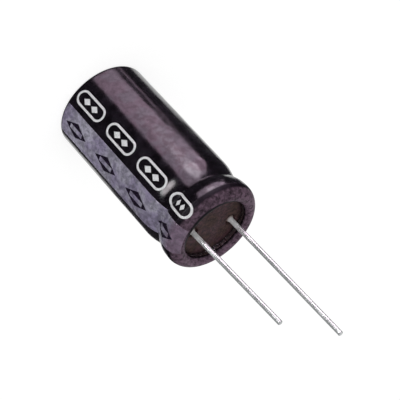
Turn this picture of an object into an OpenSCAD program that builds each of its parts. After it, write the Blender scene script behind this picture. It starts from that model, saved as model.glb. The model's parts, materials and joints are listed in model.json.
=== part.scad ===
// Radial electrolytic capacitor, standing on its closed end with both leads up.
// Origin: centre of the closed end. +Z towards the leads. +X towards the short lead.

/* [Body] */
// Diameter over the sleeve, mm
body_d = 16; // [14:0.5:18]
// Length from the closed end to the crest of the lip, mm
body_l = 31.5; // [25:0.5:40]
// Radius of the edge round the closed end, mm
edge_r = 0.8; // [0.6:0.1:1.5]

/* [Sleeve] */
// Thickness of the shrunk sleeve, mm
sleeve_t = 0.15; // [0.1:0.01:0.25]
// How far the sleeve reaches in over the closed end, mm
sleeve_overlap = 2; // [1.5:0.1:3]
// Depth to which the sleeve follows the groove, mm
sleeve_groove_depth = 0.7; // [0.3:0.05:0.8]
// Radius of the sleeve at the bottom of the groove, mm
sleeve_groove_r = 1.4; // [1:0.1:2]

/* [Groove and lip] */
// Distance of the groove's middle from the crest of the lip, mm
groove_from_lip = 5.1; // [5:0.1:7]
// Half of the groove's width at the surface, mm
groove_half_w = 2.1; // [1.8:0.05:2.2]
// Depth of the groove rolled into the can, mm
can_groove_depth = 1.3; // [1:0.05:1.5]
// Radius at the bottom of the can's groove, mm
can_groove_r = 0.9; // [0.7:0.05:1]
// How far the lip stands out past the body, mm
lip_proud = 0.05; // [-0.2:0.05:0.3]
// Radius of the lip's outer shoulder, mm
shoulder_r = 2.3; // [1.8:0.1:2.4]
// Radius of the lip's inner curl, mm
curl_r = 0.9; // [0.8:0.05:1]

/* [Can] */
// Wall thickness of the can, mm
can_wall = 0.35; // [0.25:0.05:0.45]
// Floor thickness of the can, mm
can_floor = 0.45; // [0.35:0.05:0.8]
// Length of each arm pair of the vent score, mm
vent_l = 9; // [5:0.5:10]
// Width of the vent score, mm
vent_w = 0.5; // [0.3:0.05:0.8]
// Depth of the vent score, mm
vent_depth = 0.2; // [0.1:0.05:0.25]

/* [Seal] */
// Depth of the seal's face below the crest of the lip, mm
face_below_lip = 1.5; // [1.2:0.05:1.6]
// Depth of the seal's flange, where the curl bites, below the crest, mm
flange_below_lip = 1.8; // [1.75:0.05:2]
// Height of the seal below its flange, mm
seal_h = 7.4; // [7:0.1:8.5]
// Radius of the well round each lead, mm
well_r = 0.95; // [0.8:0.05:1.2]
// Depth of the well round each lead, mm
well_depth = 0.5; // [0.3:0.05:0.7]

/* [Terminals] */
// Distance between the leads, centre to centre, mm
lead_pitch = 7.5; // [7:0.1:8]
// Diameter of the leads, mm
lead_d = 0.8; // [0.6:0.1:1]
// Length of the long, positive lead beyond the lip, mm
anode_out = 24.5; // [15:0.1:30]
// Length of the short, negative lead beyond the lip, mm
cathode_out = 19; // [12:0.1:25]
// Bevel on the cut end of each lead, mm
lead_bevel = 0.1; // [0.05:0.05:0.15]
// Angle at which the long lead leans, degrees
anode_lean = 1.4; // [0:0.1:4]
// Direction in which the long lead leans, degrees from the short lead's side
anode_lean_turn = -100; // [-180:1:180]
// Angle at which the short lead leans, degrees
cathode_lean = 2; // [0:0.1:4]
// Direction in which the short lead leans, degrees from its own side
cathode_lean_turn = -139; // [-180:1:180]
// Diameter of the round aluminium stems in the seal, mm
stem_d = 2; // [1.8:0.1:2.2]
// Diameter of the weld at the foot of each lead, mm
weld_d = 1.3; // [1.2:0.05:1.5]
// Diameter to which the weld narrows inside its lead, mm
weld_tip_d = 0.4; // [0.3:0.05:0.5]
// Height of the weld above the floor of its well, mm
weld_h = 1.2; // [1.1:0.05:1.6]
// Width of the flattened tab in the winding, mm
tab_w = 3.6; // [2.6:0.1:4]
// Width of the square neck where a stem starts to flatten, mm
tab_neck_w = 1.3; // [1:0.05:1.35]
// Thickness of the flattened tab in the winding, mm
tab_t = 0.3; // [0.2:0.05:0.4]
// Height over which a stem flattens into its tab, mm
tab_taper_h = 1; // [0.8:0.1:1.4]
// Depth to which the tabs reach into the winding, mm
tab_depth = 12; // [6:0.5:14]

/* [Winding] */
// Gap between the top of the winding and the seal, mm
winding_gap = 1.8; // [1.6:0.1:3]
// Gap between the taped winding and the can, mm
winding_side_gap = 0.3; // [0.1:0.05:0.5]
// Diameter of the hole left by the winding pin, mm
core_d = 2.4; // [1.5:0.1:3]
// Turns that show at each end
turns_shown = 8; // [4:1:10]
// Width of the gap between two shown turns, mm
turn_gap = 0.2; // [0.1:0.05:0.3]
// Depth of the gap between two shown turns, mm
turn_depth = 0.4; // [0.2:0.1:0.6]
// Thickness of the tape round the winding, mm
tape_t = 0.1; // [0.05:0.01:0.2]
// Height of the tape round the winding, mm
tape_h = 14; // [8:0.5:16]

/* [Print] */
// Thickness of the printed ink, mm
ink_t = 0.03; // [0.02:0.01:0.05]
// Angle from the short lead to the middle of the polarity stripe, degrees
stripe_turn = -2; // [-10:1:10]
// Width of the polarity stripe as an angle round the body, degrees
stripe_angle = 39; // [30:1:45]
// Height of the first mark's middle above the closed end, mm
first_mark_z = 4.2; // [4:0.1:6]
// Distance between printed marks along the body, mm
mark_pitch = 8.3; // [7.5:0.1:10]
// Distance of the last mark's middle from the crest of the lip, mm
last_mark_from_lip = 3.4; // [3.3:0.1:3.6]
// Length of a dark polarity mark, mm
mark_l = 5.6; // [5:0.1:6]
// Width of a dark polarity mark, mm
mark_w = 2.7; // [2.3:0.1:3]
// Length of the last polarity mark, where the sleeve draws in, mm
last_mark_l = 4.2; // [3.6:0.1:4.6]
// Length of the minus bar left open in a polarity mark, mm
minus_l = 3.2; // [2:0.1:3.5]
// Width of the minus bar left open in a polarity mark, mm
minus_w = 0.8; // [0.4:0.05:1]
// Angle from the stripe's middle to the row of outlines, degrees
outline_turn = -36; // [-60:1:-35]
// Length of a printed outline, mm
outline_l = 6.7; // [5.5:0.1:6.8]
// Length of the last printed outline, where the sleeve draws in, mm
last_outline_l = 5; // [4.5:0.1:5.2]
// Width of a printed outline, mm
outline_w = 2.65; // [2:0.05:3]
// Width of the printed line, mm
outline_line = 0.38; // [0.25:0.01:0.45]
// Length of the lozenges inside an outline, mm
lozenge_l = 1.7; // [1:0.1:1.8]
// Width of the lozenges inside an outline, mm
lozenge_w = 1.2; // [0.8:0.05:1.2]
// Space between the two lozenges, mm
lozenge_gap = 0.3; // [0.2:0.05:0.5]

/* [Hidden] */
$fn = 96;

// Clearance between pieces that grip each other
grip_gap = 0.01;
// Clearance under each layer of ink
ink_gap = 0.005;
// Clearance between a tab and its slot in the winding
slot_gap = 0.05;
// Overlap that joins or cuts two shapes cleanly
lap = 0.01;
// Angle at which the shoulder of the lip runs into its curl
blend_angle = 60;
// Steps in which each arc of the section is drawn
arc_steps = 8;

body_r = body_d / 2;
lip_r = body_r + lip_proud;
stem_r = stem_d / 2;
groove_z = body_l - groove_from_lip;
can_inset = sleeve_t + grip_gap;
inner_inset = can_inset + can_wall;
floor_z = can_inset + can_floor;

// Centres of the lip's shoulder and curl, which meet without a step
shoulder = [
    lip_r - shoulder_r,
    body_l - curl_r - (shoulder_r - curl_r) * sin(blend_angle)
];
curl = shoulder + (shoulder_r - curl_r) * [cos(blend_angle), sin(blend_angle)];
mouth_r = curl[0] - curl_r;

face_z = body_l - face_below_lip;
flange_z = body_l - flange_below_lip;
seal_z = flange_z - seal_h;
seal_face_r = mouth_r + can_inset - grip_gap;
well_z = face_z - well_depth;

winding_z = seal_z - winding_gap;
winding_r = body_r - inner_inset - winding_side_gap - tape_t - grip_gap;
tab_taper_z = seal_z - tab_taper_h;
tab_end_z = winding_z - tab_depth;
tape_z = (floor_z + winding_z - tape_h) / 2;
turn_pitch = (winding_r - core_d / 2) / (turns_shown + 1);

groove_start_z = groove_z - groove_half_w;
full_marks = floor((groove_start_z - first_mark_z - outline_l / 2) / mark_pitch) + 1;
last_mark_z = body_l - last_mark_from_lip;

sleeve_colour = [0.11, 0.09, 0.09];
stripe_colour = [0.62, 0.6, 0.7];
mark_colour = [0.1, 0.07, 0.1];
outline_colour = [0.92, 0.92, 0.92];
metal_colour = [0.8, 0.8, 0.82];
rubber_colour = [0.23, 0.17, 0.15];
paper_colour = [0.72, 0.65, 0.52];
tape_colour = [0.8, 0.72, 0.45];
tin_colour = [0.86, 0.86, 0.87];

// Points of an arc, without its first one
function arc(centre, r, from, to) = [
    for (i = [1 : arc_steps])
        let (a = from + (to - from) * i / arc_steps)
            centre + r * [cos(a), sin(a)]
];

function backwards(points) = [for (i = [len(points) - 1 : -1 : 0]) points[i]];

// Sum of the two radii with which a groove of this depth is drawn
function groove_radii(depth) = (groove_half_w * groove_half_w + depth * depth) / (2 * depth);

// One hollow arc between two round shoulders. skin is how far the line lies inside its surface.
function groove_line(surface_inset, skin, depth, bottom_r) =
    let (
        lip_depth = depth + lip_proud,
        low_r = groove_radii(depth) - bottom_r,
        high_r = groove_radii(lip_depth) - bottom_r,
        bottom = [body_r - surface_inset - depth + bottom_r, groove_z],
        low = [body_r - surface_inset - low_r, groove_start_z],
        high = [lip_r - surface_inset - high_r, groove_z + groove_half_w],
        low_angle = atan2(groove_half_w, bottom[0] - low[0]),
        high_angle = atan2(groove_half_w, bottom[0] - high[0])
    )
    concat(
        [[low[0] + low_r - skin, low[1]]],
        arc(low, low_r - skin, 0, low_angle),
        arc(bottom, bottom_r + skin, 180 + low_angle, 180 - high_angle),
        arc(high, high_r - skin, -high_angle, 0)
    );

// Corner of the closed end, raised for a floor thicker than the wall
function corner_line(inset, lift) =
    concat(
        [[body_r - edge_r, inset + lift]],
        arc([body_r - edge_r, edge_r + lift], edge_r - inset, -90, 0)
    );

function lip_line(inset) =
    concat(
        [[lip_r - inset, shoulder[1]]],
        arc(shoulder, shoulder_r - inset, 0, blend_angle),
        arc(curl, curl_r - inset, blend_angle, 180)
    );

// Outside of the sleeve in section, drawn in by inset, from the closed end to the mouth
function sleeve_line(inset) =
    concat(
        corner_line(inset, 0),
        groove_line(0, inset, sleeve_groove_depth, sleeve_groove_r),
        lip_line(inset)
    );

// The same for the can, whose groove is deeper
function can_line(inset, lift) =
    concat(
        corner_line(inset, lift),
        groove_line(can_inset, inset - can_inset, can_groove_depth, can_groove_r),
        lip_line(inset)
    );

module block_2d(from, to) {
    translate(from) square(to - from);
}

// Drawn cup, grooved to grip the seal and curled in over its flange
module can() {
    outside = can_line(can_inset, 0);
    inside = can_line(inner_inset, can_floor - can_wall);
    color(metal_colour)
    difference() {
        rotate_extrude()
            polygon(concat(
                [[0, can_inset]],
                outside,
                [[mouth_r + can_inset, flange_z], [mouth_r + inner_inset, flange_z]],
                backwards(inside),
                [[0, floor_z]]
            ));
        vent_score();
    }
}

// Cross pressed into the can's floor from outside
module vent_score() {
    for (turn = [0, 90])
        rotate(turn)
            translate([-vent_l / 2, -vent_w / 2, 0])
                cube([vent_l, vent_w, can_inset + vent_depth]);
}

module sleeve() {
    rim_r = body_r - sleeve_overlap;
    color(sleeve_colour)
    rotate_extrude()
        polygon(concat(
            [[rim_r, 0]],
            sleeve_line(0),
            backwards(sleeve_line(sleeve_t)),
            [[rim_r, sleeve_t]]
        ));
}

// Rubber seal, pinched by the groove and bored for both terminals
module seal() {
    color(rubber_colour)
    difference() {
        rotate_extrude() {
            intersection() {
                polygon(concat([[0, 0]], can_line(inner_inset + grip_gap, 0), [[0, curl[1]]]));
                block_2d([0, seal_z], [body_r, flange_z]);
            }
            block_2d([0, flange_z - lap], [seal_face_r, face_z]);
        }
        for (side = [-1, 1])
            translate([side * lead_pitch / 2, 0, 0]) {
                translate([0, 0, seal_z - lap])
                    cylinder(r = stem_r + grip_gap, h = well_z - seal_z + 2 * lap);
                translate([0, 0, well_z])
                    cylinder(r = well_r, h = well_depth + lap);
            }
    }
}

// Roll of foil and paper, with its turns showing as rings at both ends
module winding() {
    color(paper_colour)
    difference() {
        rotate_extrude()
            difference() {
                block_2d([core_d / 2, floor_z], [winding_r, winding_z]);
                for (turn = [1 : turns_shown]) {
                    ring_r = core_d / 2 + turn * turn_pitch;
                    for (end_z = [floor_z, winding_z])
                        block_2d(
                            [ring_r - turn_gap / 2, end_z - turn_depth],
                            [ring_r + turn_gap / 2, end_z + turn_depth]
                        );
                }
            }
        for (side = [-1, 1])
            translate([side * lead_pitch / 2, 0, (tab_end_z + winding_z) / 2])
                cube([
                    tab_t + 2 * slot_gap,
                    tab_w + 2 * slot_gap,
                    tab_depth + 2 * slot_gap
                ], center = true);
    }
}

module winding_tape() {
    color(tape_colour)
    translate([0, 0, tape_z])
        difference() {
            cylinder(r = winding_r + grip_gap + tape_t, h = tape_h);
            translate([0, 0, -lap])
                cylinder(r = winding_r + grip_gap, h = tape_h + 2 * lap);
        }
}

// Wedge whose half widths at its top and bottom are given, level along the other way
module wedge(top, bottom) {
    rotate([90, 0, 0])
        linear_extrude(2 * tab_w, center = true)
            polygon([[-bottom, tab_taper_z], [bottom, tab_taper_z], [top, seal_z], [-top, seal_z]]);
}

// Round stem through the seal, pressed flat below it
module terminal_tab() {
    translate([0, 0, seal_z])
        cylinder(r = stem_r, h = well_z - seal_z);
    intersection() {
        wedge(tab_neck_w / 2, tab_t / 2);
        rotate(90) wedge(tab_neck_w / 2, tab_w / 2);
    }
    translate([-tab_t / 2, -tab_w / 2, tab_end_z])
        cube([tab_t, tab_w, tab_taper_z - tab_end_z]);
}

module anode_tab() {
    color(metal_colour)
        translate([-lead_pitch / 2, 0, 0]) terminal_tab();
}

module cathode_tab() {
    color(metal_colour)
        translate([lead_pitch / 2, 0, 0]) terminal_tab();
}

// Tinned wire, welded to its stem in the well of the seal and leaning from there
module lead(out, lean, turn) {
    lead_r = lead_d / 2;
    wire_l = body_l + out - well_z;
    foot = weld_h / 4;
    translate([0, 0, well_z]) {
        cylinder(d1 = weld_d, d2 = weld_tip_d, h = weld_h);
        rotate(turn)
            rotate([0, lean, 0])
                rotate_extrude()
                    polygon([
                        [0, foot], [lead_r, foot],
                        [lead_r, wire_l - lead_bevel], [lead_r - lead_bevel, wire_l], [0, wire_l]
                    ]);
    }
}

module anode_lead() {
    color(tin_colour)
        translate([-lead_pitch / 2, 0, 0])
            lead(anode_out, anode_lean, anode_lean_turn);
}

module cathode_lead() {
    color(tin_colour)
        translate([lead_pitch / 2, 0, 0])
            lead(cathode_out, cathode_lean, cathode_lean_turn);
}

// Ink over a turn of the sleeve, from the closed end's edge to the crest of the lip
module ink(turn, angle, layer) {
    under = -ink_gap - layer * (ink_t + ink_gap);
    rotate(turn - angle / 2)
        rotate_extrude(angle = angle)
            intersection() {
                polygon(concat(sleeve_line(under - ink_t), backwards(sleeve_line(under))));
                block_2d([curl[0], edge_r], [body_d, body_l + body_r]);
            }
}

// A flat shape carried on to the body at a height and an angle
module printed_at(z, turn) {
    rotate(turn)
        translate([0, 0, z])
            rotate([0, 90, 0])
                linear_extrude(body_d)
                    children();
}

module polarity_stripe() {
    color(stripe_colour)
        ink(stripe_turn, stripe_angle, 0);
}

module lozenge_2d(length, width) {
    polygon([[-length / 2, 0], [0, -width / 2], [length / 2, 0], [0, width / 2]]);
}

// Pointed mark with a minus bar left open in it, which shortens with it
module mark_2d(length) {
    difference() {
        lozenge_2d(length, mark_w);
        square([minus_l * length / mark_l, minus_w], center = true);
    }
}

module polarity_marks() {
    color(mark_colour)
        intersection() {
            ink(stripe_turn, stripe_angle, 1);
            union() {
                for (i = [0 : full_marks - 1])
                    printed_at(first_mark_z + i * mark_pitch, stripe_turn) mark_2d(mark_l);
                printed_at(last_mark_z, stripe_turn) mark_2d(last_mark_l);
            }
        }
}

module stadium_2d(length, width) {
    square([length - width, width], center = true);
    for (end = [-1, 1])
        translate([end * (length - width) / 2, 0])
            circle(d = width);
}

// Outline with round ends, and two lozenges in it that shorten with it
module outline_2d(length) {
    shape_l = lozenge_l - (outline_l - length) / 2;
    difference() {
        stadium_2d(length, outline_w);
        stadium_2d(length - 2 * outline_line, outline_w - 2 * outline_line);
    }
    for (end = [-1, 1])
        translate([end * (shape_l + lozenge_gap) / 2, 0])
            lozenge_2d(shape_l, lozenge_w);
}

module outline_print() {
    turn = stripe_turn + outline_turn;
    color(outline_colour)
        intersection() {
            ink(turn, stripe_angle, 0);
            union() {
                for (i = [0 : full_marks - 1])
                    printed_at(first_mark_z + i * mark_pitch, turn) outline_2d(outline_l);
                printed_at(last_mark_z, turn) outline_2d(last_outline_l);
            }
        }
}

can();
sleeve();
seal();
winding();
winding_tape();
anode_tab();
cathode_tab();
anode_lead();
cathode_lead();
polarity_stripe();
polarity_marks();
outline_print();
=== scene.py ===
"""Looks of a sleeved radial capacitor: shrunk film, print, rubber seal, tinned wires and a small studio."""

import json
from math import cos, pi, radians, sin

import bpy
import numpy as np
from bpy.props import FloatProperty, FloatVectorProperty, IntProperty, PointerProperty
from mathutils import Matrix, Vector


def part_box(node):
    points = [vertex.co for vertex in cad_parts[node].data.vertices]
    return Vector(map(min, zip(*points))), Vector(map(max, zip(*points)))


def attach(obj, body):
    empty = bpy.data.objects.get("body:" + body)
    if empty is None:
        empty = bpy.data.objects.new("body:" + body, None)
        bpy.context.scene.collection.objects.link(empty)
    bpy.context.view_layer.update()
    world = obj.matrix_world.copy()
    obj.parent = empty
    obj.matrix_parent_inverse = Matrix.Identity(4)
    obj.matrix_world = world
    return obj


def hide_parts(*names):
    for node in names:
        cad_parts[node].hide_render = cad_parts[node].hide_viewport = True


bl_info = {
    "name": "Radial capacitor",
    "version": (1, 0, 0),
    "blender": (4, 5, 0),
    "location": "3D View > Sidebar > Capacitor",
    "description": "Dresses a radial electrolytic capacitor and lights it",
    "category": "Object",
}

MM = 0.001
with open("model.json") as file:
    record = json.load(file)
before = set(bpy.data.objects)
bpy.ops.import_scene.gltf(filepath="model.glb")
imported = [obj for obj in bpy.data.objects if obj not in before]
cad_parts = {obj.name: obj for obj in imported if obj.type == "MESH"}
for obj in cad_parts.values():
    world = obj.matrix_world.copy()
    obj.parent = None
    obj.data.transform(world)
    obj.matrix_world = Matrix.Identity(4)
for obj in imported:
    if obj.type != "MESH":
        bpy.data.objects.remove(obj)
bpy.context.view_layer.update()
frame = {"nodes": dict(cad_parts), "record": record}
MOUNTS = {mount["name"]: mount for mount in frame["record"]["mounts"]}
BODY = "root"

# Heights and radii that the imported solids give
SLEEVE_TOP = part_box("sleeve")[1]
BODY_LENGTH = SLEEVE_TOP.z
LIP_RADIUS = SLEEVE_TOP.x
SEAL_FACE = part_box("seal")[1].z
WELL_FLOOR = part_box("cathode_lead")[0].z
WELD_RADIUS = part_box("cathode_lead")[1].y


def length(name, description, default):
    """A length in millimetres that a user may change."""
    return FloatProperty(name=name, description=description, default=default * MM, unit="LENGTH", precision=6)


def angle(name, description, default):
    return FloatProperty(name=name, description=description, default=radians(default), subtype="ANGLE")


def number(name, description, default):
    return FloatProperty(name=name, description=description, default=default)


def colour(name, description, default):
    return FloatVectorProperty(name=name, description=description, default=default, size=3, subtype="COLOR")


def point(name, description, default):
    """A place in millimetres that a user may change."""
    metres = [value * MM for value in default]
    return FloatVectorProperty(name=name, description=description, default=metres, size=3, unit="LENGTH")


def below_crest(*depths):
    """Heights that lie so many millimetres below the crest of the lip."""
    return [BODY_LENGTH - depth * MM for depth in depths]


def inside_lip(*insets):
    """Radii that lie so many millimetres inside the widest part of the lip."""
    return [LIP_RADIUS - inset * MM for inset in insets]


class SleeveSettings(bpy.types.PropertyGroup):
    body_radius: length("Body radius", "Radius over the film", 8)
    edge_radius: length("Edge radius", "Rounding at the closed end", 0.4)
    rim_overlap: length("Rim overlap", "How far the film reaches in over the closed end", 2)
    film: length("Film thickness", "Thickness of the shrunk film", 0.15)
    groove_from_lip: length("Groove place", "Distance of the groove from the crest of the lip", 5.05)
    groove_fall: length("Groove fall", "Width over which the film falls into the groove", 3.2)
    groove_rise: length("Groove rise", "Width over which the film rises to the lip", 2.5)
    groove_depth: length("Groove depth", "Depth to which the film follows the groove", 0.7)
    groove_radius: length("Groove radius", "Radius at the bottom of the groove", 0.06)
    shoulder_radius: length("Shoulder radius", "Outer rounding of the lip", 2.3)
    curl_radius: length("Curl radius", "Inner rounding of the lip", 0.9)
    blend: angle("Blend angle", "Where the shoulder runs into the curl", 60)
    sway: length("Sway", "Height of the slow waves in the film", 0.007)
    pucker: length("Pucker", "Height of the folds at both ends of the film", 0.05)
    turns: IntProperty(name="Steps round", description="Faces round the film", default=320, min=48)
    black: colour("Film", "Colour of the film", (0.0042, 0.0028, 0.0048))
    stretched: colour("Stretched film", "Colour of the film drawn over the lip", (0.068, 0.043, 0.061))
    warm_sheen: colour("Warm sheen", "Tint of the gloss in some patches", (1, 0.92, 0.97))
    cool_sheen: colour("Cool sheen", "Tint of the gloss in the other patches", (0.94, 1, 1))


class PrintSettings(bpy.types.PropertyGroup):
    ink: length("Ink thickness", "Thickness of each layer of ink", 0.012)
    layer: length("Layer", "Distance between two layers of ink", 0.016)
    stripe_turn: angle("Stripe turn", "Angle from the short lead to the middle of the stripe", -2)
    stripe_angle: angle("Stripe width", "Width of the polarity stripe round the body", 39)
    first_mark: length("First mark", "Height of the first mark's middle", 4.2)
    pitch: length("Pitch", "Distance between two marks", 8.3)
    last_from_lip: length("Last mark", "Distance of the last mark from the crest of the lip", 3.4)
    full_marks: IntProperty(name="Full marks", description="Marks of full length", default=3, min=1)
    mark_length: length("Mark length", "Length of a dark polarity mark", 5.6)
    last_mark_length: length("Last mark length", "Length of the last polarity mark", 4.2)
    mark_width: length("Mark width", "Width of a dark polarity mark", 2.7)
    minus_length: length("Minus length", "Length of the bar left open in a mark", 3.2)
    minus_width: length("Minus width", "Width of the bar left open in a mark", 0.8)
    outline_turn: angle("Outline turn", "Angle from the stripe to the row of outlines", -36)
    outline_length: length("Outline length", "Length of a printed outline", 6.7)
    last_outline_length: length("Last outline length", "Length of the last outline", 5)
    outline_width: length("Outline width", "Width of a printed outline", 2.65)
    outline_line: length("Line width", "Width of the printed line", 0.38)
    lozenge_length: length("Lozenge length", "Length of the lozenges", 1.7)
    lozenge_width: length("Lozenge width", "Width of the lozenges", 1.2)
    lozenge_gap: length("Lozenge gap", "Space between two lozenges", 0.3)
    stripe: colour("Stripe ink", "Colour of the polarity stripe", (0.315, 0.3, 0.37))
    stripe_blue: colour("Blue stripe ink", "Colour of the bluer patches of the stripe", (0.235, 0.205, 0.305))
    stripe_warm: colour("Worn stripe ink", "Colour of the stripe's end on the lip", (0.175, 0.12, 0.175))
    mark: colour("Mark ink", "Colour of the polarity marks", (0.008, 0.004, 0.014))
    outline: colour("Outline ink", "Colour of the outlines", (0.8, 0.8, 0.82))


class SealSettings(bpy.types.PropertyGroup):
    well_radius: length("Well radius", "Radius of the well round each lead", 0.95)
    well_wall: length("Well wall", "Width of the soft wall of a well", 0.22)
    well_skin: length("Well floor", "Thickness of the rubber over the end of a stem", 0.04)
    neck: length("Neck", "Radius of the seal where the groove pinches it", 5.9)
    flange: length("Flange", "Thickness of the seal's part above the groove", 2)
    bulge: length("Bulge", "Height by which the face sinks towards its rim", 0.07)
    rubber: colour("Rubber", "Colour of the seal", (0.04, 0.0165, 0.021))
    olive: colour("Olive", "Colour of the olive patches in the rubber", (0.036, 0.019, 0.017))
    dust: colour("Dust", "Colour of the specks in the rubber", (0.12, 0.08, 0.07))


class LeadSettings(bpy.types.PropertyGroup):
    draw_depth: length("Draw marks", "Depth of the unevenness along the wire", 0.0006)
    bevel: length("Cut end", "Height of the sheared end", 0.1)
    # Over this length beyond the lip the wire is dulled, and its colour is painted lighter as painted light
    dulled_and_painted_light: length("Heated part", "Length over which the wire is dulled beyond the lip", 7)
    tin: colour("Tin", "Colour of the tinned wire", (0.52, 0.54, 0.54))
    # Painted light: the lighter colour painted on the wire beyond the lip
    bright_tin: colour("Bright tin", "Colour of the wire where it was heated", (0.86, 0.86, 0.87))
    foot: colour("Weld", "Colour of the wire at its weld", (0.2, 0.14, 0.13))


class InnerSettings(bpy.types.PropertyGroup):
    aluminium: colour("Aluminium", "Colour of the can and the tabs", (0.72, 0.72, 0.73))
    paper: colour("Paper", "Colour of the soaked paper", (0.55, 0.45, 0.3))
    tape: colour("Tape", "Colour of the tape", (0.68, 0.55, 0.24))


class StudioSettings(bpy.types.PropertyGroup):
    azimuth: angle("Camera azimuth", "Camera's direction from the object, from +X", -47.43)
    elevation: angle("Camera elevation", "Camera's height above the horizon", 29.92)
    roll: angle("Camera roll", "Turn of the camera about its own axis", 137.57)
    aim: point("Camera aim", "Point that the camera looks at", (-0.99, -0.89, 25.23))
    distance: length("Camera distance", "From the point aimed at to the camera", 212.4)
    lens: number("Lens", "Focal length for a sensor of 36 mm", 125.46)
    floor: length("Floor", "Half the width of the floor", 1500)
    floor_share: number("Floor share", "Share of the floor's white that shadow can't darken", 0.55)
    floor_glow: number("Floor glow", "Strength with which the lit floor comes out white", 1.36)
    fill: number("Fill", "Strength of the light from all around", 0.62)
    key: number("Key light", "Power of the key light in watts", 0.55)
    key_elevation: angle("Key light height", "Key light's height above the horizon", 55)
    key_distance: length("Key light distance", "From the middle of the body to the key light", 500)
    key_size: length("Key light size", "Diameter of the key light", 350)
    card: number("Soft box", "Brightness of the soft box in reflections", 4)
    front: number("Front", "Brightness of the room on the camera's side in reflections", 0.07)


SETTINGS = {
    "sleeve": SleeveSettings,
    "print": PrintSettings,
    "seal": SealSettings,
    "leads": LeadSettings,
    "inner": InnerSettings,
    "studio": StudioSettings,
}


def settings(group):
    return getattr(bpy.context.scene, "capacitor_" + group)


# Shapes

def arc(centre, radius, start, end, steps):
    """Points of an arc in the plane of radius and height, with angles in radians."""
    turns = np.linspace(start, end, steps + 1)
    return np.stack([centre[0] + radius * np.cos(turns), centre[1] + radius * np.sin(turns)], 1)


def straight(start, end, steps):
    """Points between two ends, which are left out themselves."""
    return np.linspace(start, end, steps + 1)[1:-1]


def film_line():
    """Outside of the film in section, from its rim on the closed end over the lip into the mouth."""
    s = settings("sleeve")
    groove_z = BODY_LENGTH - s.groove_from_lip
    lip_depth = s.groove_depth + LIP_RADIUS - s.body_radius

    def side_radius(width, depth):
        return (width ** 2 + depth ** 2) / (2 * depth) - s.groove_radius

    low_r = side_radius(s.groove_fall, s.groove_depth)
    high_r = side_radius(s.groove_rise, lip_depth)
    bottom = np.array([s.body_radius - s.groove_depth + s.groove_radius, groove_z])
    low = np.array([s.body_radius - low_r, groove_z - s.groove_fall])
    high = np.array([LIP_RADIUS - high_r, groove_z + s.groove_rise])
    low_turn = np.arctan2(s.groove_fall, bottom[0] - low[0])
    high_turn = np.arctan2(s.groove_rise, bottom[0] - high[0])
    drop = s.shoulder_radius - s.curl_radius
    shoulder = np.array([LIP_RADIUS - s.shoulder_radius, BODY_LENGTH - s.curl_radius - drop * sin(s.blend)])
    curl = shoulder + drop * np.array([cos(s.blend), sin(s.blend)])

    edge = arc((s.body_radius - s.edge_radius, s.edge_radius), s.edge_radius, -pi / 2, 0, 12)
    rim = np.array([s.body_radius - s.rim_overlap, 0])
    below = arc(low, low_r, 0, low_turn, 30)
    valley = arc(bottom, s.groove_radius, pi + low_turn, pi - high_turn, 14)
    above = arc(high, high_r, -high_turn, 0, 10)
    brow = arc(shoulder, s.shoulder_radius, 0, s.blend, 18)
    mouth = arc(curl, s.curl_radius, s.blend, pi, 20)
    return np.concatenate([
        [rim], straight(rim, edge[0], 10), edge, straight(edge[-1], below[0], 64),
        below, valley[1:], above[1:], straight(above[-1], brow[0], 4), brow, mouth[1:],
    ])


def line_normals(line):
    """Unit normals of a section, pointing to the right of its direction."""
    ahead = np.gradient(line, axis=0)
    ahead /= np.linalg.norm(ahead, axis=1, keepdims=True)
    return np.stack([ahead[:, 1], -ahead[:, 0]], 1)


def smooth(value, low, high):
    """Goes from 0 at low to 1 at high, without a kink."""
    t = np.clip((value - low) / (high - low), 0, 1)
    return t * t * (3 - 2 * t)


def waves(turn, count, start):
    """Uneven folds round the axis, from -1 to 1."""
    drift = np.sin(2 * turn + 1.7 * start) + 0.7 * np.sin(3 * turn + start) + 0.5 * np.sin(5 * turn - start)
    return np.sin(count * turn + 1.4 * drift)


# Slow waves in the film: share of the sway, times round, radians for each metre of height, start
SWAYS = ((0.5, 2, 380, 1.3), (0.5, 5, -610, 0.4), (0.35, 9, 1250, 2.1), (0.3, 3, -1700, 0))
# Folds round the film's rim below the can, round its mouth and in the groove: number of them, start
RIM_FOLDS = 29, 1.0
MOUTH_FOLDS = 37, 2.3
GROOVE_FOLDS = 23, 4.1


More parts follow.
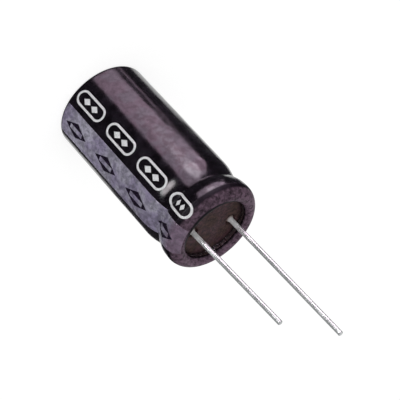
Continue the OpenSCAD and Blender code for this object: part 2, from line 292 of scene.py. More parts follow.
class Film:
    """The surface of the shrunk film, on which the print lies too."""

    def __init__(self):
        s = settings("sleeve")
        self.line = film_line()
        self.normals = line_normals(self.line)
        self.sway = s.sway
        self.pucker = s.pucker
        self.rim_radius = s.body_radius - s.rim_overlap
        self.rim_end = s.body_radius - s.edge_radius
        self.groove_z = BODY_LENGTH - s.groove_from_lip
        self.groove_width = s.groove_rise
        # Rows of the section from the foot of the side up to the crest of the lip
        foot = int(np.argmax(self.line[:, 0] >= s.body_radius - 1e-9))
        self.side = slice(foot, int(np.argmax(self.line[:, 1])))

    def relief(self, turn, radius, z):
        """Height of the film over its plain section."""
        slow = sum(share * np.sin(count * turn + rise * z + start) for share, count, rise, start in SWAYS)
        on_side = smooth(z, 0.5 * MM, 2.5 * MM) * (1 - smooth(z, *below_crest(2, 0)))
        height = self.sway * slow * on_side
        near_rim = (1 - smooth(radius, self.rim_radius, self.rim_end)) * (z < MM)
        height = height - self.pucker * near_rim * (0.5 + 0.5 * waves(turn, *RIM_FOLDS))
        near_mouth = (1 - smooth(radius, *inside_lip(2.6, 1.2))) * (z > self.groove_z)
        height = height - 0.7 * self.pucker * near_mouth * (0.5 + 0.5 * waves(turn, *MOUTH_FOLDS))
        above_groove = (z - self.groove_z) / self.groove_width
        in_groove = np.exp(-((above_groove - 0.2) / 0.4) ** 2)
        return height + 0.25 * self.pucker * in_groove * waves(turn, *GROOVE_FOLDS)

    def at(self, turn, radius, z, normal_r, normal_z, lift):
        """Points on the film, or lifted off it along its normal."""
        height = self.relief(turn, radius, z) + lift
        r = radius + normal_r * height
        return np.stack([r * np.cos(turn), r * np.sin(turn), z + normal_z * height], -1)

    def along(self, turn, rows, lift=0.0):
        """Points over the given rows of the section, one line of points for each turn."""
        radius, z = self.line[rows].T
        normal_r, normal_z = self.normals[rows].T
        return self.at(turn[:, None], radius[None], z[None], normal_r[None], normal_z[None], lift)

    def wrap(self, centre_turn, across, z, lift):
        """Points of a flat shape carried on to the side of the film."""
        heights = self.line[self.side, 1]
        radius = np.interp(z, heights, self.line[self.side, 0])
        normal_r = np.interp(z, heights, self.normals[self.side, 0])
        normal_z = np.interp(z, heights, self.normals[self.side, 1])
        turn = centre_turn + np.arcsin(across / radius)
        return self.at(turn, radius, z, normal_r, normal_z, lift)


def grid_mesh(name, layers, closed_rows=False, closed_columns=False):
    """A mesh of one or more grids of points, each an array of rows by columns by 3."""
    points, faces = [], []
    for grid in layers:
        rows, columns = grid.shape[:2]
        start = sum(len(p) for p in points)
        points.append(grid.reshape(-1, 3))
        index = start + np.arange(rows * columns).reshape(rows, columns)
        row_ends = np.roll(index, -1, 0) if closed_rows else index[1:]
        row_starts = index if closed_rows else index[:-1]
        if closed_columns:
            quads = [row_starts, row_ends, np.roll(row_ends, -1, 1), np.roll(row_starts, -1, 1)]
        else:
            quads = [row_starts[:, :-1], row_ends[:, :-1], row_ends[:, 1:], row_starts[:, 1:]]
        faces.append(np.stack(quads, -1).reshape(-1, 4))
    mesh = bpy.data.meshes.new(name)
    mesh.from_pydata(np.concatenate(points).tolist(), [], np.concatenate(faces).tolist())
    mesh.validate()
    return mesh


def add_piece(name, mesh, material, slot, *nodes):
    """Puts a finished mesh in the scene in place of the solids that it stands for."""
    piece = bpy.data.objects.new(name, mesh)
    bpy.context.scene.collection.objects.link(piece)
    mesh.materials.append(material)
    mesh.shade_smooth()
    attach(piece, BODY)
    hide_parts(*nodes)
    return piece


def thicken(piece, thickness):
    """Gives an open sheet its thickness, inwards from its surface."""
    solid = piece.modifiers.new("thickness", "SOLIDIFY")
    solid.thickness = thickness
    solid.offset = -1


def polar(count):
    """Evenly spaced angles once round the axis."""
    return np.linspace(-pi, pi, count, endpoint=False)


def patch(corners, steps):
    """A flat grid between four corners, given in order round it."""
    a, b, c, d = (np.array(corner, float) for corner in corners)
    u = np.linspace(0, 1, steps + 1)[:, None, None]
    v = np.linspace(0, 1, steps + 1)[None, :, None]
    return (1 - u) * (1 - v) * a + u * (1 - v) * b + u * v * c + (1 - u) * v * d


def ring(outer, inner, steps):
    """A flat closed band of points between two loops with as many points each."""
    t = np.linspace(0, 1, steps + 1)[None, :, None]
    return outer[:, None] * (1 - t) + inner[:, None] * t


def stadium_loop(full_length, width):
    """Points round a shape with straight sides and round ends, as (along, across)."""
    half = (full_length - width) / 2
    cap = arc((half, 0), width / 2, -pi / 2, pi / 2, 24)
    side = straight(cap[-1], (-half, width / 2), 24)
    half_loop = np.concatenate([cap, side])
    return np.concatenate([half_loop, -half_loop])


def lozenge_loop(full_length, width):
    """Points round a lozenge, as (along, across)."""
    tip, side = np.array([full_length / 2, 0]), np.array([0, width / 2])
    half_loop = np.concatenate([[tip], straight(tip, side, 24), [side], straight(side, -tip, 24)])
    return np.concatenate([half_loop, -half_loop])


# Materials

class Paint:
    """Builds the nodes of one material."""

    def __init__(self, name):
        self.material = bpy.data.materials.new(name)
        self.material.use_nodes = True
        self.nodes = self.material.node_tree.nodes
        self.shader = self.nodes["Principled BSDF"]
        self.place = self.nodes.new("ShaderNodeTexCoord").outputs["Object"]

    def link(self, source, target):
        self.material.node_tree.links.new(source, target)

    def feed(self, socket, value):
        """Links what another node gives, or sets a constant."""
        if isinstance(value, bpy.types.NodeSocket):
            self.link(value, socket)
        else:
            socket.default_value = value

    def set(self, **values):
        """Constants on the shader's own sockets, named in lower case with underscores."""
        names = {socket.name.lower().replace(" ", "_"): socket for socket in self.shader.inputs}
        for name, value in values.items():
            names[name].default_value = (*value, 1) if isinstance(value, (tuple, list)) else value

    def node(self, kind, **inputs):
        made = self.nodes.new("ShaderNode" + kind)
        for name, value in inputs.items():
            self.feed(made.inputs[name.replace("_", " ")], value)
        return made

    def scaled(self, scale, shift=(0, 0, 0)):
        """The object's own coordinates, scaled along each axis and shifted."""
        return self.node("Mapping", Vector=self.place, Scale=scale, Location=shift).outputs["Vector"]

    def noise(self, per_mm, detail=3.0, rough=0.55, place=None, warp=0.0):
        """Noise of so many cells to the millimetre."""
        made = self.node(
            "TexNoise", Vector=place or self.place, Scale=per_mm / MM, Detail=detail, Roughness=rough,
            Distortion=warp,
        )
        return made.outputs["Fac"]

    def ramp(self, value, low, high, out_low=0.0, out_high=1.0):
        """Goes softly from one value to another between two limits."""
        limits = {"From Min": low, "From Max": high, "To Min": out_low, "To Max": out_high}
        made = self.node("MapRange", Value=value, **limits)
        made.interpolation_type = "SMOOTHSTEP"
        return made.outputs["Result"]

    def maths(self, operation, a, b=0.0):
        made = self.nodes.new("ShaderNodeMath")
        made.operation = operation
        for socket, value in zip(made.inputs, (a, b)):
            self.feed(socket, value)
        return made.outputs[0]

    def mix(self, share, a, b):
        made = self.nodes.new("ShaderNodeMix")
        made.data_type = "RGBA"
        for name, value in (("Factor", share), ("A", a), ("B", b)):
            self.feed(made.inputs[name], value)
        return made.outputs["Result"]

    def shade(self, value, share):
        """A colour made darker or lighter by one factor."""
        made = self.nodes.new("ShaderNodeVectorMath")
        made.operation = "SCALE"
        self.link(value, made.inputs["Vector"])
        made.inputs["Scale"].default_value = share
        return made.outputs["Vector"]

    def part(self, axis):
        """One of the object's own coordinates."""
        return self.node("SeparateXYZ", Vector=self.place).outputs[axis]

    def from_axis(self, x=0.0, y=0.0):
        """Distance from the capacitor's axis, or from a line beside it."""
        made = self.nodes.new("ShaderNodeVectorMath")
        made.operation = "LENGTH"
        self.link(self.scaled((1, 1, 0), (-x, -y, 0)), made.inputs["Vector"])
        return made.outputs["Value"]

    def bump(self, height, distance, strength=1.0, under=None):
        """Relief of a height in millimetres, over another relief if there is one."""
        made = self.node("Bump", Height=height, Distance=distance * MM, Strength=strength)
        if under:
            self.link(under, made.inputs["Normal"])
        return made.outputs["Normal"]

    def finish(self, base, roughness, normal):
        """Joins what varies over the surface to the shader."""
        for name, value in (("Base Color", base), ("Roughness", roughness), ("Normal", normal)):
            self.link(value, self.shader.inputs[name])
        return self.material


def rgb(value, share=1.0):
    """A colour with its fourth channel, darker or lighter by a factor."""
    return (*[channel * share for channel in value], 1)


def film_paint():
    """Glossy black film, paler and duller where it is drawn over the lip, with painted light on one side of
    the lip and painted shade in the mouth.
    """
    s = settings("sleeve")
    p = Paint("shrunk_film")
    p.set(ior=1.5)
    cloud = p.noise(0.45, detail=5.0)
    patches = p.noise(0.9, detail=4.0, rough=0.7)
    mottle = p.noise(1.5, detail=5.0, rough=0.75)
    grain = p.noise(5.5, detail=4.0)
    height = p.part("Z")

    dark = p.mix(p.ramp(cloud, 0.35, 0.68), rgb(s.black, 0.6), rgb(s.black, 2.2))
    drawn = p.mix(p.ramp(mottle, 0.34, 0.66), rgb(s.stretched, 0.45), rgb(s.stretched, 2.2))
    # Painted light: the film drawn over the lip is painted lighter towards one side and darker towards the
    # other
    painted_shading = p.ramp(p.maths("SUBTRACT", p.part("X"), p.part("Y")), 8 * MM, 0)
    drawn = p.mix(painted_shading, p.shade(drawn, 0.86), p.shade(drawn, 1.2))
    over_lip = p.ramp(height, *below_crest(1.45, 1))
    # Painted shade: the film is painted black inside a circle that lies beside the axis, on the near side of
    # the mouth, and at its own end in the mouth
    painted_shade_near_side = p.ramp(p.from_axis(0.89 * MM, -0.95 * MM), *inside_lip(2.35, 2.65))
    inwards = p.maths("MAXIMUM", painted_shade_near_side, p.ramp(p.from_axis(), *inside_lip(2.35, 2.48)))
    painted_mouth_shade = p.maths("MULTIPLY", inwards, over_lip)
    base = p.mix(painted_mouth_shade, p.mix(over_lip, dark, drawn), rgb(s.black))

    dulled = p.ramp(height, *below_crest(2.3, 1.8))
    sheen = p.maths("MULTIPLY", p.ramp(patches, 0.4, 0.6, 0.34, 0.48), p.ramp(dulled, 0, 1, 1, 0.16))
    tint = p.mix(p.ramp(cloud, 0.42, 0.58), rgb(s.warm_sheen), rgb(s.cool_sheen))
    p.link(sheen, p.shader.inputs["Specular IOR Level"])
    p.link(tint, p.shader.inputs["Specular Tint"])
    glossy = p.ramp(cloud, 0.3, 0.7, 0.12, 0.18)
    roughness = p.maths("ADD", glossy, p.maths("MULTIPLY", dulled, 0.3))
    orange_peel = p.bump(p.noise(0.9, detail=2.0), 0.02, 0.5)
    return p.finish(base, roughness, p.bump(grain, 0.008, 0.6, orange_peel))


def stripe_paint():
    """Pale uneven ink, painted lighter near the closed end and darker towards the groove as painted shading,
    and worn on the lip.
    """
    s = settings("print")
    p = Paint("stripe_ink")
    p.set(ior=1.48, specular_ior_level=0.4)
    cloud = p.noise(0.35, detail=5.0, rough=0.6, warp=0.4)
    patches = p.noise(1.1, detail=5.0, rough=0.7)
    grain = p.noise(6.5, detail=3.0)
    cool = p.mix(p.ramp(cloud, 0.4, 0.6), rgb(s.stripe), rgb(s.stripe_blue))
    warm = p.mix(p.ramp(patches, 0.3, 0.7), rgb(s.stripe_warm, 0.6), rgb(s.stripe_warm, 1.35))
    uneven = p.mix(p.ramp(patches, 0.38, 0.62), p.shade(cool, 0.62), p.shade(cool, 1.3))
    height = p.part("Z")
    # Painted light and shade: the stripe is painted lighter near the closed end and darker towards the groove
    painted_shading = p.mix(p.ramp(height, 5 * MM, 22 * MM), p.shade(uneven, 1.16), p.shade(uneven, 0.94))
    base = p.mix(p.ramp(height, *below_crest(3.4, 1.6)), painted_shading, warm)
    specks = p.mix(p.ramp(grain, 0.42, 0.36), base, rgb(s.stripe, 0.5))
    normal = p.bump(grain, 0.01, 0.7)
    return p.finish(specks, p.ramp(cloud, 0.3, 0.7, 0.26, 0.36), normal)


def mark_paint():
    s = settings("print")
    p = Paint("mark_ink")
    p.set(ior=1.48, specular_ior_level=0.4)
    grain = p.noise(5.0, detail=3.0)
    base = p.mix(p.ramp(grain, 0.35, 0.68), rgb(s.mark, 0.7), rgb(s.mark, 1.8))
    return p.finish(base, p.ramp(grain, 0.3, 0.7, 0.22, 0.34), p.bump(grain, 0.008, 0.6))


def outline_paint():
    s = settings("print")
    p = Paint("outline_ink")
    p.set(ior=1.48)
    grain = p.noise(7.0, detail=3.0)
    base = p.mix(p.ramp(grain, 0.44, 0.34), rgb(s.outline), rgb(s.outline, 0.62))
    return p.finish(base, p.ramp(grain, 0.3, 0.7, 0.3, 0.45), p.bump(grain, 0.006, 0.6))


def rubber_paint():
    """Dull dark rubber in two tones with pale specks, and painted shade along its rim under the lip."""
    s = settings("seal")
    p = Paint("seal_rubber")
    p.set(ior=1.5, specular_ior_level=0.17)
    cloud = p.noise(0.4, detail=4.0)
    patches = p.noise(1.6, detail=5.0, rough=0.75)
    grain = p.noise(4.5, detail=5.0, rough=0.7)
    tone = p.mix(p.ramp(cloud, 0.42, 0.58), rgb(s.rubber), rgb(s.olive))
    base = p.mix(p.ramp(patches, 0.36, 0.64), p.shade(tone, 0.4), p.shade(tone, 1.9))
    # Painted shade: the rubber is painted darker along its rim, where the lip shades it
    painted_rim_shade = p.ramp(p.from_axis(), *inside_lip(3.1, 2.5))
    base = p.mix(painted_rim_shade, base, rgb(s.rubber, 0.3))
    dusted = p.mix(p.ramp(grain, 0.56, 0.7), base, rgb(s.dust))
    normal = p.bump(grain, 0.05, 0.8, p.bump(patches, 0.06, 0.6))
    return p.finish(dusted, p.ramp(cloud, 0.3, 0.7, 0.5, 0.7), normal)


def tin_paint():
    """Tinned wire, dulled beyond the lip and painted lighter there as painted light, and brown at the weld.
    """
    s = settings("leads")
    p = Paint("tinned_wire")
    drawn = p.noise(2.6, detail=3.0, place=p.scaled((1, 1, 0.05)))
    spots = p.noise(0.8, detail=3.0)
    height = p.part("Z")
    off_foot = p.ramp(height, WELL_FLOOR + 0.2 * MM, SEAL_FACE + 0.2 * MM)
    # Painted light: beyond the lip the wire's colour is painted lighter; the same part is also rougher
    dulled_and_painted_light = p.ramp(height, BODY_LENGTH, BODY_LENGTH + s.dulled_and_painted_light, 1, 0)
    tin = p.mix(dulled_and_painted_light, rgb(s.tin), rgb(s.bright_tin))
    uneven = p.mix(p.ramp(spots, 0.35, 0.7), p.shade(tin, 0.9), p.shade(tin, 1.08))
    base = p.mix(off_foot, rgb(s.foot), uneven)
    past_lip = p.ramp(height, *below_crest(0.3, -1.2))
    metallic = p.maths("MULTIPLY", p.ramp(dulled_and_painted_light, 0, 1, 0.26, 0.5), p.ramp(past_lip, 0, 1, 0.2, 1))
    p.link(metallic, p.shader.inputs["Metallic"])
    roughness = p.maths("ADD", p.ramp(spots, 0.3, 0.7, 0.12, 0.16), p.ramp(dulled_and_painted_light, 0, 1, 0, 0.22))
    return p.finish(base, roughness, p.bump(drawn, 0.0006, 0.3))


def aluminium_paint():
    s = settings("inner")
    p = Paint("drawn_aluminium")
    p.set(metallic=1.0)
    grain = p.noise(2.0, detail=4.0, place=p.scaled((1, 1, 0.08)))
    cloud = p.noise(0.5, detail=3.0)
    base = p.mix(p.ramp(cloud, 0.3, 0.7), rgb(s.aluminium, 0.85), rgb(s.aluminium, 1.05))
    return p.finish(base, p.ramp(grain, 0.3, 0.7, 0.26, 0.42), p.bump(grain, 0.01, 0.5))


def paper_paint():
    s = settings("inner")
    p = Paint("soaked_paper")
    p.set(ior=1.45)
    fibre = p.noise(3.0, detail=6.0, place=p.scaled((1, 1, 0.3)))
    base = p.mix(p.ramp(fibre, 0.3, 0.7), rgb(s.paper, 0.8), rgb(s.paper, 1.15))
    return p.finish(base, p.ramp(fibre, 0.3, 0.7, 0.5, 0.8), p.bump(fibre, 0.02, 0.6))


def tape_paint():
    s = settings("inner")
    p = Paint("clear_tape")
    p.set(ior=1.49)
    cloud = p.noise(0.8, detail=3.0)
    base = p.mix(p.ramp(cloud, 0.3, 0.7), rgb(s.tape, 0.85), rgb(s.tape, 1.1))
    return p.finish(base, p.ramp(cloud, 0.3, 0.7, 0.18, 0.3), p.bump(cloud, 0.02, 0.3))


def dress(node, material):
    """Gives a solid that stays in view its own material."""
    slots = frame["nodes"][node].data.materials
    slots.clear()
    slots.append(material)


# Pieces

def make_sleeve():
    """The film's outside with every row of its section, closed by an inside with fewer rows."""
    s = settings("sleeve")
    film = Film()
    turn = polar(s.turns)
    outside = film.along(turn, slice(None))
    inner_rows = slice(None, None, 4)
    inside = film.along(turn, inner_rows, -s.film)[:, ::-1]
    shell = np.concatenate([outside, inside], 1)
    mesh = grid_mesh("sleeve_film", [shell], closed_rows=True, closed_columns=True)
    add_piece("sleeve_film", mesh, film_paint(), "sleeve_film", "sleeve")


def make_stripe(film, s):
    """The stripe from the foot of the side to a few rows short of the crest of the lip."""
    turn = s.stripe_turn + np.linspace(-s.stripe_angle / 2, s.stripe_angle / 2, 37)
    rows_short = 3
    sheet = film.along(turn, slice(film.side.start, film.side.stop - rows_short), s.ink)
    piece = add_piece(
        "stripe_print", grid_mesh("stripe_print", [sheet]), stripe_paint(), "stripe_ink", "polarity_stripe"
    )
    thicken(piece, s.ink)


def bar_loop(outer, full_length, width):
    """Points round a bar, in the directions of the points of another loop."""
    reach = np.maximum(np.abs(outer[:, 0]) / (full_length / 2), np.abs(outer[:, 1]) / (width / 2))
    return outer / reach[:, None]


def places(s, full_length, last_length):
    """Height and length of each mark in a row, the last of which is shorter."""
    row = [(s.first_mark + i * s.pitch, full_length) for i in range(s.full_marks)]
    return [*row, (BODY_LENGTH - s.last_from_lip, last_length)]


def make_marks(film, s):
    layers = []
    for z, full_length in places(s, s.mark_length, s.last_mark_length):
        outer = lozenge_loop(full_length, s.mark_width)
        inner = bar_loop(outer, s.minus_length * full_length / s.mark_length, s.minus_width)
        band = ring(outer, inner, 8)
        layers.append(film.wrap(s.stripe_turn, -band[..., 1], z + band[..., 0], s.ink + s.layer))
    piece = add_piece(
        "polarity_print", grid_mesh("polarity_print", layers, closed_rows=True), mark_paint(), "mark_ink",
        "polarity_marks",
    )
    thicken(piece, s.ink)


def make_outlines(film, s):
    turn = s.stripe_turn + s.outline_turn
    bands, lozenges = [], []
    for z, full_length in places(s, s.outline_length, s.last_outline_length):
        outer = stadium_loop(full_length, s.outline_width)
        inner = stadium_loop(full_length - 2 * s.outline_line, s.outline_width - 2 * s.outline_line)
        band = ring(outer, inner, 3)
        bands.append(film.wrap(turn, -band[..., 1], z + band[..., 0], s.ink))
        size = s.lozenge_length - (s.outline_length - full_length) / 2
        for side in (-1, 1):
            middle = z + side * (size + s.lozenge_gap) / 2
            half_width = s.lozenge_width / 2
            flat = patch([(-size / 2, 0), (0, -half_width), (size / 2, 0), (0, half_width)], 8)
            lozenges.append(film.wrap(turn, -flat[..., 1], middle + flat[..., 0], s.ink))
    material = outline_paint()
    outline = add_piece(
        "outline_rings", grid_mesh("outline_rings", bands, closed_rows=True), material, "outline_ink",
        "outline_print",
    )
    shapes = add_piece(
        "outline_lozenges", grid_mesh("outline_lozenges", lozenges), material, "outline_ink", "outline_print"
    )
    thicken(outline, s.ink)
    thicken(shapes, s.ink)


def make_print():
    film, s = Film(), settings("print")
    make_stripe(film, s)
    make_marks(film, s)
    make_outlines(film, s)


def make_seal():
    """The rubber's face with its two wells, over its full body below."""
    s = settings("seal")
    low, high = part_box("seal")
    centre, overlap, edge, slope, waist = (size * MM for size in (0.02, 0.05, 0.3, 1, 1.5))
    face_radius = LIP_RADIUS - settings("sleeve").shoulder_radius + overlap
    turn = polar(300)[:, None]
    radius = np.linspace(centre, face_radius, 110)[None]
    x, y = radius * np.cos(turn), radius * np.sin(turn)
    z = SEAL_FACE - s.bulge * smooth(radius, 0.35 * face_radius, face_radius) + 0 * turn
    for name in ("cathode_lead", "anode_lead"):
        foot = lead_foot(name)
        away = np.hypot(x - foot.x, y - foot.y)
        in_well = 1 - smooth(away, s.well_radius - s.well_wall, s.well_radius + s.well_wall / 2)
        z = z - (z - WELL_FLOOR - s.well_skin) * in_well
    face = np.stack([x, y, z], -1)
    flange_z = SEAL_FACE - s.flange
    below = np.array([
        (face_radius, SEAL_FACE - edge), (high.x, SEAL_FACE - slope), (high.x, flange_z),
        (s.neck, flange_z - slope), (s.neck, flange_z - slope - waist),
        (high.x, low.z + slope), (high.x, low.z), (centre, low.z),
    ])
    r, h = below.T
    skirt = np.stack([r * np.cos(turn), r * np.sin(turn), h + 0 * turn], -1)
    shell = np.concatenate([face, skirt], 1)
    mesh = grid_mesh("seal_face", [shell], closed_rows=True, closed_columns=True)
    add_piece("seal_face", mesh, rubber_paint(), "seal_rubber", "seal")


def lead_axis(name):
    """Direction of a lead, which leans a little."""
    return Vector(MOUNTS[name]["axis"]).normalized()


def lead_foot(name):
    """Where a lead's own axis meets the floor of its well."""
    mount, axis = MOUNTS[name], lead_axis(name)
    middle = Vector(mount["pos_m"])
    return middle - axis * ((middle.z - WELL_FLOOR) / axis.z)


def wire_line(radius, weld_h, full, bevel):
    """Outside of a lead in section, from the floor of its well to its sheared end."""
    centre = 0.01 * MM
    weld = [(centre, 0.0), (WELD_RADIUS, 0.0), (0.97 * WELD_RADIUS, 0.12 * weld_h)]
    for t in np.linspace(0, 1, 9):
        weld.append((WELD_RADIUS + (radius - WELD_RADIUS) * smooth(t, 0, 1), weld_h * (0.15 + 0.75 * t)))
    wire = [(radius, h) for h in np.linspace(weld_h, full - bevel, 90)]
    cut = [(radius - 0.35 * bevel, full - 0.4 * bevel), (radius - bevel, full), (centre, full)]
    return np.array(weld + wire + cut)


def uneven_tin(turn, h, start):
    """Low waves in the tin, round a wire and along it."""
    long = np.sin(900 * h + start)
    short = 0.6 * np.sin(2300 * h + 2 * turn + start)
    fine = 0.4 * np.sin(5100 * h - turn)
    return long + short + fine


def make_lead(name, start, material):
    """Tinned wire with uneven tin, a weld at its foot and a sheared end."""
    s = settings("leads")
    mount, axis, foot = MOUNTS[name], lead_axis(name), lead_foot(name)
    radius = mount["dims"]["r_mm"] * MM
    middle = (Vector(mount["pos_m"]) - foot).length
    half = mount["dims"]["length_mm"] * MM / 2
    r, h = wire_line(radius, middle - half, middle + half + s.bevel, s.bevel).T
    turn = polar(48)[:, None]
    on_wire = smooth(r, 0.6 * radius, 0.9 * radius)
    r = r[None] + s.draw_depth * 0.5 * (uneven_tin(turn, h, start) - 1) * on_wire[None]
    side = axis.orthogonal().normalized()
    across = axis.cross(side)
    points = (
        np.array(foot)[None, None]
        + (r * np.cos(turn))[..., None] * np.array(side)
        + (r * np.sin(turn))[..., None] * np.array(across)
        + (h[None] + 0 * turn)[..., None] * np.array(axis)
    )
    add_piece(name + "_wire", grid_mesh(name, [points], closed_rows=True), material, "lead_tin", name)


def make_leads():
    material = tin_paint()
    for name, start in (("anode_lead", 0.6), ("cathode_lead", 2.2)):
        make_lead(name, start, material)


def dress_inner():
    metal = aluminium_paint()
    for node in ("can", "anode_tab", "cathode_tab"):
        dress(node, metal)
    dress("winding", paper_paint())
    dress("winding_tape", tape_paint())


# Studio

def facing(azimuth, elevation):
    """Direction from the object, with +X at azimuth 0."""
    return Vector((cos(azimuth) * cos(elevation), sin(azimuth) * cos(elevation), sin(elevation)))


def make_camera():
    s = settings("studio")
    back = facing(s.azimuth, s.elevation)
    level = Vector((-sin(s.azimuth), cos(s.azimuth), 0))
    over = back.cross(level)
    right = cos(s.roll) * level + sin(s.roll) * over
    up = back.cross(right)
    data = bpy.data.cameras.new("camera")
    data.sensor_width = 36
    data.lens = s.lens
    data.clip_start = 0.01
    camera = bpy.data.objects.new("camera", data)
    place = Matrix.Translation(Vector(s.aim) + back * s.distance)
    camera.matrix_world = place @ Matrix((right, up, back)).transposed().to_4x4()
    bpy.context.scene.collection.objects.link(camera)
    bpy.context.scene.camera = camera


def seen_straight(tree):
    """1 for rays of the camera and for rays mirrored or let through, else 0."""
    path = tree.nodes.new("ShaderNodeLightPath")
    total = path.outputs["Is Camera Ray"]
    for name in ("Is Glossy Ray", "Is Transmission Ray"):
        highest = tree.nodes.new("ShaderNodeMath")
        highest.operation = "MAXIMUM"
        tree.links.new(total, highest.inputs[0])
        tree.links.new(path.outputs[name], highest.inputs[1])
        total = highest.outputs[0]
    return total


def make_world():
    s = settings("studio")
    world = bpy.data.worlds.new("studio")
    world.use_nodes = True
    tree = world.node_tree
    background = tree.nodes["Background"]
    background.inputs["Color"].default_value = (1, 1, 1, 1)
    strength = tree.nodes.new("ShaderNodeMapRange")
    strength.inputs["To Min"].default_value = s.fill
    strength.inputs["To Max"].default_value = 1
    tree.links.new(seen_straight(tree), strength.inputs["Value"])
    tree.links.new(strength.outputs["Result"], background.inputs["Strength"])
    bpy.context.scene.world = world


def make_floor():
    """Pale floor that stays white to the camera but keeps the object's shadow."""
    s = settings("studio")
    mesh = bpy.data.meshes.new("floor")
    corners = [(x * s.floor, y * s.floor, 0) for x, y in ((-1, -1), (1, -1), (1, 1), (-1, 1))]
    mesh.from_pydata(corners, [], [(0, 1, 2, 3)])
    floor = bpy.data.objects.new("floor", mesh)
    bpy.context.scene.collection.objects.link(floor)
    floor.visible_glossy = False
    paint = Paint("pale_floor")
    paint.set(base_color=(0.86, 0.86, 0.86), roughness=1.0, specular_ior_level=0.0)
    tree = paint.material.node_tree
    glow = tree.nodes.new("ShaderNodeEmission")
    glow.inputs["Strength"].default_value = s.floor_glow
    both = tree.nodes.new("ShaderNodeMixShader")
    share = tree.nodes.new("ShaderNodeMath")
    share.operation = "MULTIPLY"
    share.inputs[1].default_value = s.floor_share
    tree.links.new(seen_straight(tree), share.inputs[0])
    tree.links.new(share.outputs[0], both.inputs[0])
    tree.links.new(paint.shader.outputs[0], both.inputs[1])
    tree.links.new(glow.outputs[0], both.inputs[2])
    tree.links.new(both.outputs[0], tree.nodes["Material Output"].inputs["Surface"])
    mesh.materials.append(paint.material)


def wide(azimuths, elevations):
    """A grid of azimuths and elevations between two limits each."""
    (left, right), (low, high) = azimuths, elevations
    return patch([(left, low), (right, low), (right, high), (left, high)], 48)


def rounded(*corners):
    """A grid of azimuths and elevations inside a soft outline that passes near the corners."""
    loop = np.array(corners, float)
    for _ in range(3):
        ahead = np.roll(loop, -1, 0)
        loop = np.stack([0.8 * loop + 0.2 * ahead, 0.2 * loop + 0.8 * ahead], 1).reshape(-1, 2)
    loop = np.concatenate([loop, loop[:1]])
    return ring(loop, loop.mean(0) + 0 * loop, 12)


def on_sphere(angles, radius):
    """Points on a sphere round the object, at the given azimuths and elevations."""
    turn, rise = np.radians(angles[..., 0]), np.radians(angles[..., 1])
    return radius * np.stack([np.cos(turn) * np.cos(rise), np.sin(turn) * np.cos(rise), np.sin(rise)], -1)


def make_card(name, points, tint, strength):
    """A curved card that shows only in reflections."""
    mesh = grid_mesh(name, [points])
    card = bpy.data.objects.new(name, mesh)
    bpy.context.scene.collection.objects.link(card)
    material = bpy.data.materials.new(name)
    material.use_nodes = True
    tree = material.node_tree
    glow = tree.nodes.new("ShaderNodeEmission")
    glow.inputs["Color"].default_value = rgb(tint)
    glow.inputs["Strength"].default_value = strength
    tree.links.new(glow.outputs[0], tree.nodes["Material Output"].inputs["Surface"])
    material.cycles.emission_sampling = "NONE"
    mesh.materials.append(material)
    card.visible_camera = False
    card.visible_diffuse = False
    card.visible_transmission = False
    card.visible_shadow = False


def make_key_light():
    """A round lamp over the camera that lights the object but shows in no reflection."""
    s = settings("studio")
    data = bpy.data.lights.new("key_light", "AREA")
    data.shape = "DISK"
    data.size = s.key_size
    data.energy = s.key
    lamp = bpy.data.objects.new("key_light", data)
    towards = facing(s.azimuth, s.key_elevation)
    lamp.location = Vector((0, 0, BODY_LENGTH / 2)) + towards * s.key_distance
    lamp.rotation_mode = "QUATERNION"
    lamp.rotation_quaternion = towards.to_track_quat("Z", "Y")
    lamp.visible_camera = False
    lamp.visible_glossy = False
    bpy.context.scene.collection.objects.link(lamp)


# Distances of the cards from the object: the dark room, the soft box, and what lies before the box
ROOM, BOX, NEAR = 0.6, 0.5, 0.48
DIM_VIOLET = (0.9, 0.85, 1)
PINK = (1, 0.74, 0.94)
PALE_PINK = (1, 0.82, 0.95)
WHITE = (1, 1, 1)

# The dark room's walls, each between two azimuths and two elevations, in degrees
WALLS = {
    "dark_below": ((-180, 180), (-90, -40)),
    "dark_front": ((-182, 98), (-89, 60)),
    "dark_left": ((-196, -180), (-31.6, 60)),
    "dark_right": ((96, 112), (-31.6, 60)),
}

# Corners of the lit cards, each an azimuth and an elevation in degrees
SOFT_BOX = (
    (-129, -38), (-71, -38), (-71, -31), (-67, -27), (-66, -4), (-67, 15), (-72, 19), (-98, 17), (-110, 11),
    (-120, 3), (-128, -7), (-136, -19), (-139, -28), (-130, -30),
)
BRIGHT_CORE = (
    (-114, -28.6), (-88, -28.6), (-84, -16), (-86, 3), (-92, 10), (-102, 10), (-110, 1), (-114, -15),
)
BRIGHT_EDGE = ((-138, -29.4), (-128, -29.4), (-128, -25.5), (-138, -25.5))
SIDE_GLINT = ((-53, -16.5), (-13, -16.5), (-15, -2), (-53, -2))
EDGE_STRIP = ((-147.5, -142.5), (-38, -31.5))


def make_cards(s):
    """A dark room, and in it the soft boxes that draw the highlights on the film."""
    for name, limits in WALLS.items():
        make_card(name, on_sphere(wide(*limits), ROOM), DIM_VIOLET, s.front)
    make_card("edge_strip", on_sphere(wide(*EDGE_STRIP), BOX), PINK, 0.45 * s.card)
    for name, corners, distance, tint, share in (
        ("soft_box", SOFT_BOX, BOX, PINK, 1),
        ("bright_core", BRIGHT_CORE, NEAR, PALE_PINK, 2.5),
        ("bright_edge", BRIGHT_EDGE, NEAR, PINK, 1.8),
        ("side_glint", SIDE_GLINT, BOX, WHITE, 3.1),
    ):
        make_card(name, on_sphere(rounded(*corners), distance), tint, share * s.card)


def make_studio():
    s = settings("studio")
    bpy.context.scene.view_settings.view_transform = "Standard"
    make_camera()
    make_world()
    make_floor()
    make_cards(s)
    make_key_light()


# Operators

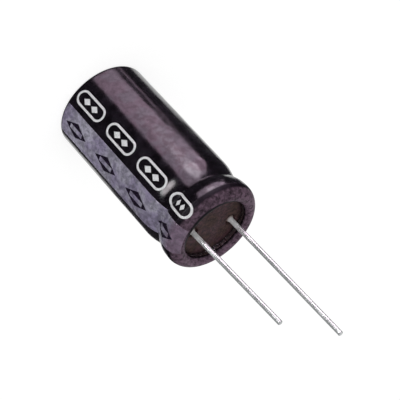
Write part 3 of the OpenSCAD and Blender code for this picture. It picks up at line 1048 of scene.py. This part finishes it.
class CAPACITOR_OT_sleeve(bpy.types.Operator):
    """Makes the shrunk film over the can"""
    bl_idname = "capacitor.sleeve"
    bl_label = "Shrink the sleeve"

    def execute(self, context):
        make_sleeve()
        return {"FINISHED"}


class CAPACITOR_OT_print(bpy.types.Operator):
    """Makes the polarity stripe, its marks and the white outlines"""
    bl_idname = "capacitor.print"
    bl_label = "Print the sleeve"

    def execute(self, context):
        make_print()
        return {"FINISHED"}


class CAPACITOR_OT_seal(bpy.types.Operator):
    """Makes the rubber seal with a well round each lead"""
    bl_idname = "capacitor.seal"
    bl_label = "Fit the seal"

    def execute(self, context):
        make_seal()
        return {"FINISHED"}


class CAPACITOR_OT_leads(bpy.types.Operator):
    """Makes both tinned wires"""
    bl_idname = "capacitor.leads"
    bl_label = "Fit the leads"

    def execute(self, context):
        make_leads()
        return {"FINISHED"}


class CAPACITOR_OT_inner(bpy.types.Operator):
    """Paints the can, the winding, its tape and the tabs"""
    bl_idname = "capacitor.inner"
    bl_label = "Finish the inside"

    def execute(self, context):
        dress_inner()
        return {"FINISHED"}


class CAPACITOR_OT_studio(bpy.types.Operator):
    """Makes the camera, the lights and the floor"""
    bl_idname = "capacitor.studio"
    bl_label = "Set up the studio"

    def execute(self, context):
        make_studio()
        return {"FINISHED"}


OPERATORS = {
    "sleeve": CAPACITOR_OT_sleeve,
    "print": CAPACITOR_OT_print,
    "seal": CAPACITOR_OT_seal,
    "leads": CAPACITOR_OT_leads,
    "inner": CAPACITOR_OT_inner,
    "studio": CAPACITOR_OT_studio,
}


class CAPACITOR_PT_pieces(bpy.types.Panel):
    """Lists the steps that dress the capacitor, each with its sizes and colours"""
    bl_idname = "CAPACITOR_PT_pieces"
    bl_label = "Capacitor"
    bl_space_type = "VIEW_3D"
    bl_region_type = "UI"
    bl_category = "Capacitor"

    def draw(self, context):
        for group, operator in OPERATORS.items():
            box = self.layout.box()
            box.operator(operator.bl_idname)
            for name in SETTINGS[group].__annotations__:
                box.prop(settings(group), name)


def register():
    for group, cls in SETTINGS.items():
        bpy.utils.register_class(cls)
        setattr(bpy.types.Scene, "capacitor_" + group, PointerProperty(type=cls))
    for cls in [*OPERATORS.values(), CAPACITOR_PT_pieces]:
        bpy.utils.register_class(cls)


def unregister():
    for cls in [CAPACITOR_PT_pieces, *reversed(OPERATORS.values())]:
        bpy.utils.unregister_class(cls)
    for group, cls in reversed(SETTINGS.items()):
        delattr(bpy.types.Scene, "capacitor_" + group)
        bpy.utils.unregister_class(cls)


def main():
    register()
    for step in OPERATORS:
        getattr(bpy.ops.capacitor, step)()


if __name__ == "__main__":
    main()
